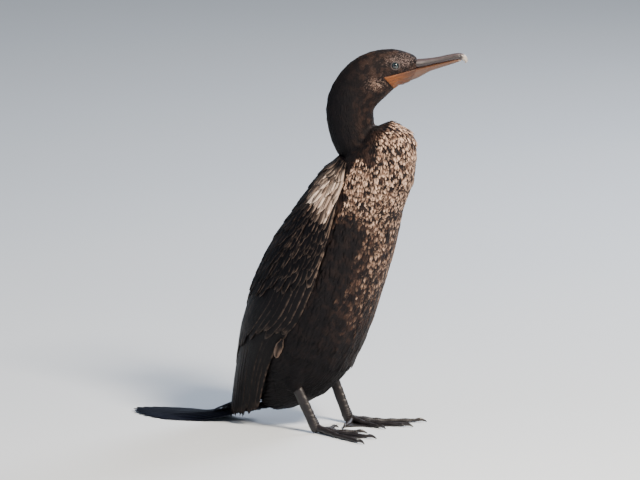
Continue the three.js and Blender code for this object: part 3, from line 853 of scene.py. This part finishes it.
def covert_buff_and_sunlight(t, angle):
    """How buff a wing covert is: the shoulder is as pale as the breast, its buff partly the feathers' own and
    partly painted sunlight, and the rest is dark.
    """
    return float(ramp(t, 0.715, 0.745) * (1 - 0.6 * ramp(t, 0.82, 0.87)) * (1 - ramp(angle, 40, 62)))


def along_row(row, i, count):
    """The share of feather i along its row, where every other row is set half a feather on."""
    return (i + 0.5 * (row % 2)) / (count - 0.5)


def wing_feathers(side):
    """The feathers of a folded wing: long tiers below, then coverts, then scapulars over the back."""
    vanes = Vanes()
    for count, root_t, tips, span, width, lift, pale, blunt in LONG_TIERS.values():
        for i in range(count):
            share = i / (count - 1)
            tip_t = tips[0] + (tips[1] - tips[0]) * share
            tip_t += 0.012 * math.sin(2.4 * i) + 0.006 * random.normal()
            angle = span[0] + (span[1] - span[0]) * share
            surface = cloak_surface(side, (root_t, 4 + 0.8 * angle), (max(tip_t, 0.006), angle),
                                    width * random.uniform(0.94, 1.06), lift, blunt)
            edge = pale * random.uniform(0.6, 1.1) + (i == 0) * 0.5
            vanes.add(surface, 20, 9, edge, CLOAK_LENGTH * (root_t - tip_t))
    for row in range(COVERT_ROWS):
        share_up = row / (COVERT_ROWS - 1)
        for i in range(COVERTS_A_ROW):
            share = along_row(row, i, COVERTS_A_ROW)
            angle = 5 + (97 - 50 * share_up) * share
            tip_t = 0.56 + 0.35 * share_up - (0.2 - 0.1 * share_up) * share + 0.013 * random.normal()
            root_t = min(CLOAK_TOP, tip_t + 0.17 - 0.06 * share_up)
            surface = cloak_surface(side, (root_t, 2 + 0.92 * angle), (tip_t, angle + random.normal()),
                                    (11.5 - 3.5 * share_up) * random.uniform(0.9, 1.1),
                                    (-2.2, 0.1 + 1.5 * share_up), 4.5)
            # The shoulder's buff is partly the feathers' own and partly painted sunlight
            buff = covert_buff_and_sunlight(tip_t, angle) * random.uniform(0.3, 1.15)
            edge = random.uniform(0.35, 1.0) + (i == 0) * 0.6
            vanes.add(surface, 11, 7, edge, CLOAK_LENGTH * (root_t - tip_t), buff)
    for row in range(SCAPULAR_ROWS):
        t = 0.87 - 0.05 * row
        for i in range(SCAPULARS_A_ROW):
            angle = 126 + 51 * along_row(row, i, SCAPULARS_A_ROW) + random.normal()
            tip = (t + 0.01 * random.normal(), angle - 2)
            surface = cloak_surface(side, (min(CLOAK_TOP, t + 0.13), angle + 1), tip,
                                    11.5, (-1.6, 2.0 - 0.1 * row), 4.5, lambda t: 0.0 * t)
            # The scapulars at the shoulder take the same buff, partly painted sunlight
            buff = covert_buff_and_sunlight(t, angle - front_edge(t)) * random.uniform(0.1, 1.0)
            vanes.add(surface, 10, 7, 0.5 * random.uniform(0.3, 1.1), 45, buff)
    if side == "right":
        # One tan flank feather lies over the wing's front edge
        surface = cloak_surface(side, (0.385, 1), (0.315, -6), 9, (0.6, 1.6), 4)
        vanes.add(surface, 12, 9, 2.0, 20, 0.4, 0.0)
    return vanes.build(f"feathers_wing_{side}")


def wing_core(side):
    """The wing's own mass under its feathers."""
    rows, columns = 28, 26
    inward = np.maximum(0, 1 - np.arange(columns) / 6)
    drop = 2.4 + 5 * (1 - np.sqrt(1 - inward ** 2))
    rings = []
    for i in range(rows):
        t = 0.3 + (CLOAK_TOP - 0.3) * i / (rows - 1)
        turns = np.radians(np.linspace(front_edge(t) + 3, 179.4, columns))
        outer = CLOAK.point(t, turns, -drop)
        inner = CLOAK.point(t, turns[::-1], -9.0)
        rings.append(on_wing(np.vstack([outer, inner]), t, side))
    return tube(f"wing_core_{side}", rings, tone=0.5)


TAIL_ROOT = (-72, 0, 25)
TAIL_LENGTH = 160
TAIL_FEATHERS = 12
TAIL_TOUCH = 0.72


def tail_fall(along):
    """How high the tail still is along its length, from 1 at its root to 0 where it touches down."""
    return np.maximum(0, 1 - np.maximum(along, 0) / TAIL_TOUCH) ** 1.5


def tail_feathers():
    """The closed tail laid on the floor, with coverts above and below its root."""
    vanes = Vanes()
    for i in range(TAIL_FEATHERS):
        fan = 2 * i / (TAIL_FEATHERS - 1) - 1
        reach = TAIL_LENGTH * (1 - 0.26 * abs(fan) ** 1.5)
        turn = math.radians(13) * fan
        stack = 2.2 * (1 - abs(fan))

        def long_one(u, v):
            high = 0.75 + stack * (0.6 + 0.4 * v) + (TAIL_ROOT[2] - 4) * tail_fall(v)
            half = 7.5 * np.minimum(1, 0.6 + v) * np.sqrt(np.maximum(0, 1 - v ** 9))
            x = TAIL_ROOT[0] - reach * v * math.cos(turn) + u * half * math.sin(turn)
            y = 3.5 * fan + reach * v * math.sin(turn) + u * half * math.cos(turn)
            return np.stack([x, y, high + 0.35 * np.exp(-((u / 0.1) ** 2)) - 0.25 * u * u], -1)

        vanes.add(long_one, 26, 9, 0.15, reach, thickness=0.35)
    for level, rows in ((1, 5), (-1, 4)):
        for row in range(rows):
            start = -66 - 9 * (rows - 1 - row)
            for i in range(6):
                share = 2 * along_row(row, i, 6) - 1

                def covert(u, v):
                    x = start - 34 * v
                    y = (11.5 - 3.5 * v) * math.sin(share * 1.35) + u * 5.5 * vane_outline(v, 4)
                    mid = 2.0 + (TAIL_ROOT[2] - 3) * tail_fall((TAIL_ROOT[0] - x) / TAIL_LENGTH)
                    rise = (8.5 * (1 - v) + 2.0) * math.cos(share * 1.2) * (1 if level > 0 else -0.75)
                    z = mid + rise + level * (0.12 * row - 0.6 * u * u)
                    return np.stack([x, y, np.maximum(z, 0.5)], -1)

                vanes.add(covert, 9, 7, 0.15, 34)
    return vanes.build("feathers_tail")


# Bill, eyes and throat

UPPER_BILL = Form([
    (58, 0, 388.5, 4.0, 5.2, 6.2),
    (72, 0, 388.8, 4.2, 5.0, 5.8),
    (90, 0, 391.9, 3.1, 3.8, 4.4),
    (104, 0, 394.6, 3.2, 4.0, 3.6),
    (113, 0, 396.3, 3.4, 3.6, 3.2),
    (118.2, 0, 395.2, 3.3, 2.8, 2.5),
    (120.6, 0, 391.8, 2.0, 1.5, 1.7),
    (120.0, 0, 389.6, 1.0, 0.8, 0.9),
], from_head)
LOWER_BILL = Form([
    (56, 0, 378.5, 9.8, 4.6, 5.6),
    (68, 0, 381.0, 7.8, 3.4, 5.2),
    (82, 0, 384.9, 4.4, 2.4, 4.2),
    (98, 0, 388.7, 2.9, 1.9, 3.2),
    (108, 0, 391.0, 2.0, 2.0, 2.5),
    (115.5, 0, 392.4, 0.9, 1.7, 1.6),
], from_head)


def bill_half(name, form, upper):
    """Half of the bill, with a groove along each side and, above, a flat ridge and a stepped nail."""
    t, phi = shares(90), angles(40)
    height = -np.cos(phi) if upper else np.cos(phi)
    groove = -0.45 * np.exp(-(((height - 0.35) / 0.16) ** 2)) * ramp(t, 0.05, 0.2) * (1 - ramp(t, 0.5, 0.72))
    nail = 0.28 * ramp(t, 0.60, 0.63) * (1 - ramp(t, 0.8, 0.98)) if upper else 0.0
    close = -0.5 * ramp(t, 0.96, 1.0)
    edge = -0.25 * np.exp(-(((height + 0.75) / 0.2) ** 2))
    return tube(name, form.point(t, phi, groove + nail + close + edge), along=t,
                around=0.5 + 0.5 * height if upper else 0.2)


def eyeball(word, side):
    """An eye with a slightly raised cornea."""
    polar, turn = math.pi * (0.004 + 0.992 * shares(32)), angles(40)
    radius = EYE_RADIUS - 0.05 + 0.25 * ramp(np.cos(polar), 0.8, 0.95)
    flat = radius * np.sin(polar)
    y = side * (EYE_SIDE + radius * np.cos(polar)) + 0 * turn
    grid = np.stack([EYE[0] + flat * np.cos(turn), y, EYE[1] + flat * np.sin(turn)], -1)
    return tube(f"eyeball_{word}", from_head(grid), out=np.where(polar < math.pi / 2, flat, 5.0))


def lid_ring(word, side):
    """The beaded lid round an eye."""
    turn, phi = angles(96)[:, None], angles(14)
    thick = 0.8 * (1 + 0.12 * np.sin(24 * turn))
    squash = 1 - 0.1 * np.abs(np.sin(turn)) ** 3
    x = EYE[0] + (4.35 + thick * np.cos(phi)) * np.cos(turn)
    y = side * (13.6 + 0.9 * thick * np.sin(phi))
    z = EYE[1] + (4.35 * squash + thick * np.cos(phi)) * np.sin(turn)
    return tube(f"lid_{word}", from_head(np.stack([x, y, z], -1)), ring_shaped=True)


def gular_patch():
    """The bare throat: a copy of its solid made smooth, with shallow folds that run along the jaw."""
    patch = remeshed(copied_flesh("throat_skin", {"gular_skin": 0.15}), 0.55, 6)
    points, normals = drawn(read(patch.data, "co")), read(patch.data, "normal")
    along, _, up = to_head(points).T
    fold = np.sin(1.9 * (up - 0.28 * along)) * 0.16
    # The pouch hangs a little lower than its solid between the chin and the bill
    sag = 0.7 * np.sin(np.pi * np.clip((along - 50) / 28, 0, 1)) ** 1.3
    hang = sag * np.maximum(0, gape_height(along) - up)
    moved = points + normals * fold[:, None] - hang[:, None] * np.array((0, 0, 1))
    patch.data.vertices.foreach_set("co", place(moved).ravel())
    give_values(patch.data, {"along": ramp(along, 44, 68)})
    patch.data.update()
    return patch


# Legs and feet


def shank(side):
    """The bare shank, its front in a row of wide scutes."""
    x, y, lean = STANCE[side]
    # Each section's share of the way from heel to ankle, and how far it reaches back, forward and aside
    sections = ((1.18, 2.2, 2.0, 2.2), (1.12, 5.4, 4.8, 5.0), (1, 6.4, 5.6, 5.6), (0.86, 5.9, 5.4, 4.5),
                (0.5, 5.9, 5.9, 3.8), (0, 5.2, 5.2, 4.3), (-0.16, 2.8, 2.6, 2.4))
    heel, drop = x - HEEL_BACK - lean, ANKLE_HEIGHT - HEEL_HEIGHT
    form = Form([(heel + lean * share, y, HEEL_HEIGHT + drop * share, *reach) for share, *reach in sections])
    t, phi = shares(120), angles(36)
    step = (t * 17) % 1
    front = ramp(np.cos(phi), 0.1, 0.6)
    plate = 0.55 * (step ** 0.5 - 0.6) * front
    pebble = 0.12 * np.sin(9 * phi + 40 * t) * np.sin(90 * t) * (1 - front)
    return tube(f"bare_shank_{side}", form.point(t, phi, plate + pebble - 0.15), 0.05,
                seam=np.where(step < 0.14, front, 0.15))


def along_toe(side, name, reach):
    """Where a toe's line is, seen from above, at reach millimetres from the ankle."""
    x, y, _ = STANCE[side]
    turn = math.radians(TOES[name][0]) * (1 if side == "left" else -1)
    return x + reach * math.cos(turn), y + reach * math.sin(turn)


def toe_axis(side, name, share):
    """A point on a toe's line, with its height there, and its thickness."""
    height = 5.5 + (2.3 - 5.5) * np.minimum(1, 2.2 * share)
    size = 4.3 + (2.3 - 4.3) * np.sqrt(share)
    return np.stack([*along_toe(side, name, TOES[name][1] * share), height], -1), size


def toe(side, name):
    """A toe with a row of scutes on top and a swelling at each knuckle."""
    _, length, knuckles = TOES[name]
    share = np.linspace(0, 1, int(length * 1.9))
    centre, size = toe_axis(side, name, share)
    up = np.array([0, 0, 1.0])
    left = unit(np.cross(up, unit(np.gradient(centre, axis=0))))
    share, phi = share[:, None], angles(24)
    step = (share * length / 2.6) % 1
    top = ramp(np.sin(phi), 0.2, 0.7)
    knuckle = 1 + 0.11 * np.cos(2 * math.pi * share * knuckles)
    end = 1 - 0.65 * ramp(share, 0.93, 1.0)
    radius = size[:, None] * 0.93 * knuckle * end + 0.28 * (step ** 0.5 - 0.5) * top
    aside = (radius * np.cos(phi))[..., None] * left[:, None]
    grid = centre[:, None] + aside + (radius * 0.9 * np.sin(phi))[..., None] * up
    return tube(f"toe_{side}_{name}", grid, 0.02, seam=np.where(step < 0.16, top, 0.1))


def web(side):
    """The web between all four toes: a thin sheet that dips between them, its edge drawn in."""
    names = list(TOES)
    columns, rows = 14, 22
    joint = np.array([STANCE[side][0], STANCE[side][1], 0.0])
    sheets = []
    for a, b in zip(names, names[1:]):
        v, u = np.meshgrid(np.linspace(0.03, 0.97, rows), np.linspace(0, 1, columns), indexing="ij")
        mid = toe_axis(side, a, v)[0] * (1 - u)[..., None] + toe_axis(side, b, v)[0] * u[..., None]
        sag = np.sin(np.pi * u)
        pull = (0.22 * v * sag)[..., None]
        sheet = mid * (1 - pull) + joint * pull
        crease = 0.22 * np.sin(16 * u + 3 * v) * sag * v
        sheet[..., 2] = np.maximum(1.1, 3.2 - 1.9 * sag - 0.8 * v) + crease * 0.6
        lower = sheet - (0, 0, 0.75)
        lower[..., 2] = np.maximum(lower[..., 2], 0.02)
        points = np.vstack([sheet.reshape(-1, 3), lower.reshape(-1, 3)])
        sheets.append(outward(mesh_object(f"web_{side}_{b}", points, np.vstack(sheet_faces(rows, columns)))))
    return joined(f"web_{side}", sheets)


def claw(side, name):
    """A curved claw, ridged above."""
    # The share of its 9 mm length, height and thickness at each section
    shape = ((-0.35, 2.5, 1.5), (0.1, 3.1, 1.85), (0.45, 2.9, 1.5), (0.75, 2.0, 1.0), (1.0, 0.75, 0.35))
    form = Form([(*along_toe(side, name, TOES[name][1] + 9 * s), z, size, size * 1.05, size * 0.75)
                 for s, z, size in shape])
    phi = angles(16)
    ridge = 0.12 * np.maximum(0, -np.cos(phi)) ** 4
    return tube(f"horn_{side}_{name}", form.point(shares(24), phi, ridge), 0.02)


# Studio


def aim(azimuth, elevation):
    """The way towards a lamp or a camera at these degrees, the azimuth counted from the bird's right side."""
    a, e = math.radians(azimuth), math.radians(elevation)
    return Vector((math.sin(a) * math.cos(e), -math.cos(a) * math.cos(e), math.sin(e)))


def studio():
    """A pale floor, soft light from the upper right and front, and the camera."""
    reach = 16.0
    floor = bpy.data.meshes.new("floor")
    corners = ((-1, -1), (1, -1), (1, 1), (-1, 1))
    floor.from_pydata([(x * reach, y * reach, 0) for x, y in corners], [], [(0, 1, 2, 3)])
    # Matt paint: an even pale grey, very slightly cloudy
    paint = dressed("matt painted floor", mottled, {"Roughness": 0.9}, 900, 2.0, "#C9D0D6", "#D3D8DC")
    floor.materials.append(paint)
    ground = linked("floor", floor)

    world = bpy.data.worlds.new("studio")
    bpy.context.scene.world = world
    world.use_nodes = True
    sky = world.node_tree.nodes["Background"]
    sky.inputs[0].default_value = linear("#C8D6E6")
    sky.inputs[1].default_value = 0.38

    centre = Vector(place((0, 0, 200)).tolist())
    for name, azimuth, elevation, distance, size, watts, tint in (
        ("key", 62, 42, 2.4, 0.6, 168, "#FFF1DF"),
        ("fill", -25, 25, 3.0, 2.0, 18, "#DCE8FF"),
        ("rim", 160, 35, 2.6, 1.0, 70, "#EAF0FF"),
    ):
        way = aim(azimuth, elevation)
        lamp = bpy.data.lights.new(name, "AREA")
        lamp.size, lamp.energy, lamp.color = size, watts, linear(tint)[:3]
        holder = linked(name, lamp)
        holder.location = centre + way * distance
        holder.rotation_euler = (-way).to_track_quat("-Z", "Y").to_euler()

    # The photo's camera: its lens and sensor in millimetres, and the width in metres that it sees at the bird
    lens, sensor, width = 600.0, 36.0, 0.672
    back = aim(25, 10)
    right = Vector((-back.y, back.x, 0)).normalized()
    up = back.cross(right)
    target = Vector(place((0, 0, 0)).tolist()) + right * (-13.65 * MM) + up * (197.4 * MM)
    camera = linked("camera", bpy.data.cameras.new("camera"))
    camera.data.lens, camera.data.sensor_width = lens, sensor
    camera.data.clip_end = 60
    turn = Matrix((right, up, back)).transposed().to_4x4()
    turn.translation = target + back * (width * lens / sensor)
    camera.matrix_world = turn
    bpy.context.scene.camera = camera


# Pieces

# Each coat's own spacing in metres, its zone, and its side and its height in metres where these are limited
COATS = {
    "coat_head": {"Spacing": 0.00072, "Zone": 2.0},
    "coat_neck": {"Spacing": 0.00125, "Zone": 1.0},
    "coat_breast_right": {"Spacing": 0.0019, "Side": -1.0, "Below": 0.2},
    "coat_breast_left": {"Spacing": 0.0019, "Side": 1.0, "Below": 0.2},
    "coat_belly_right": {"Spacing": 0.002, "Side": -1.0, "Above": 0.2},
    "coat_belly_left": {"Spacing": 0.002, "Side": 1.0, "Above": 0.2},
}
FIRST_SEED = 11


def body_pieces():
    """The skin and the six coats on it."""
    keratin = {"Roughness": 0.68, "IOR": 1.5, "Sheen Weight": 0.03, "Sheen Roughness": 0.4,
               "Specular IOR Level": 0.14}
    feathers = dressed("contour feathers", plumage, keratin)
    skin, stamp, tree = make_skin(), feather_stamp(), coat_tree(feathers)
    coarse = 1.0
    for seed, (name, own) in enumerate(COATS.items(), FIRST_SEED):
        inputs = {"Feather": stamp, "Seed": seed, "Zone": 0.0, "Side": 0.0, "Below": -1.0, "Above": 9.0}
        inputs.update(own, Spacing=own["Spacing"] * coarse)
        finish_piece(coat_piece(name, skin, tree, inputs), feathers, "breast_plumage")
    bpy.data.objects.remove(stamp)
    finish_piece(skin, feathers, "dark_plumage", *FLESH)


def vaned_pieces():
    """The feathers of the wings, what is under them, and the tail."""
    gloss = {"Roughness": 0.42, "IOR": 1.52, "Specular IOR Level": 0.1, "Coat Roughness": 0.35,
             "Coat Tint": linear("#8C86C8")}
    wing_vanes = dressed("wing vanes", vaned, gloss, "#09070A", "#5A4C43")
    tail_vanes = dressed("tail vanes", vaned, {**gloss, "Coat Weight": 0.2}, "#070A18", "#141828")
    for side in ("right", "left"):
        finish_piece(wing_feathers(side), wing_vanes, "flight_feathers", f"wing_{side}")
        finish_piece(wing_core(side), wing_vanes, "flight_feathers")
    finish_piece(tail_feathers(), tail_vanes, "flight_feathers", "tail")


def face_pieces():
    """The bill, the bare throat and the eyes with their lids."""
    keratin = {"Roughness": 0.38, "IOR": 1.54, "Subsurface Weight": 0.05, "Subsurface Scale": 0.002}
    # The last colour of each bill half is a painted highlight on its tip, and the number after it is where
    # that highlight starts
    upper = dressed("upper horn", horn, keratin, "#42383A", "#120D0F", "#A0968C", 0.64)
    lower = dressed("lower horn", horn, keratin, "#4E3425", "#36241B", "#6E5A4C", 0.88)
    throat = dressed("gular skin", gular, {
        "Roughness": 0.5, "IOR": 1.4, "Subsurface Weight": 0.15, "Subsurface Scale": 0.003})
    eyes = dressed("cornea and iris", eye, {
        "Roughness": 0.08, "IOR": 1.376, "Coat Weight": 1.0, "Coat Roughness": 0.02})
    # Lid skin: a bare beaded ring, grey-brown and slightly moist
    lids = dressed("lid skin", mottled, {"Roughness": 0.45, "IOR": 1.42}, 1.5, 2.0, "#1A1516", "#4A403E")
    finish_piece(bill_half("upper_bill", UPPER_BILL, True), upper, "bill", "upper_mandible")
    finish_piece(bill_half("lower_bill", LOWER_BILL, False), lower, "bill", "lower_mandible")
    finish_piece(gular_patch(), throat, "gular_skin", "gular_skin")
    for word, sign in (("right", -1), ("left", 1)):
        finish_piece(eyeball(word, sign), eyes, "eye", f"eye_{word}")
        finish_piece(lid_ring(word, sign), lids, "dark_plumage")


def leg_pieces():
    """The bare shanks, and feet of toes, web and claws."""
    # Scuted leg skin: black-brown horn plates about 1 mm across with paler, dusty seams
    legs = dressed("scuted leg skin", mottled, {"Roughness": 0.48, "IOR": 1.45}, 7, 4.0, "#080709", "#1D1719",
                   (900.0, "F1", 0.45, 0.0004), "#332B28")
    # Foot web: thin leathery skin, matt black with fine creases about 1.6 mm apart
    webs = dressed("foot web", mottled, {"Roughness": 0.55, "IOR": 1.42}, 6, 3.0, "#0B0A0D", "#1F1B1D",
                   (620.0, "DISTANCE_TO_EDGE", 0.5, 0.0005))
    # Claw horn: smooth black keratin, a little brown in places
    claws = dressed("claw horn", mottled, {"Roughness": 0.3, "IOR": 1.54}, 3, 2.0, "#0D0C0D", "#2B2422")
    for side in ("right", "left"):
        finish_piece(shank(side), legs, "leg_skin", f"shank_{side}")
        toes = joined(f"toes_{side}", [toe(side, name) for name in TOES])
        finish_piece(toes, legs, "leg_skin", f"foot_{side}")
        finish_piece(web(side), webs, "leg_skin")
        for name in TOES:
            finish_piece(claw(side, name), claws, "claw", f"claw_{side}_{name}")


studio()
body_pieces()
vaned_pieces()
face_pieces()
leg_pieces()
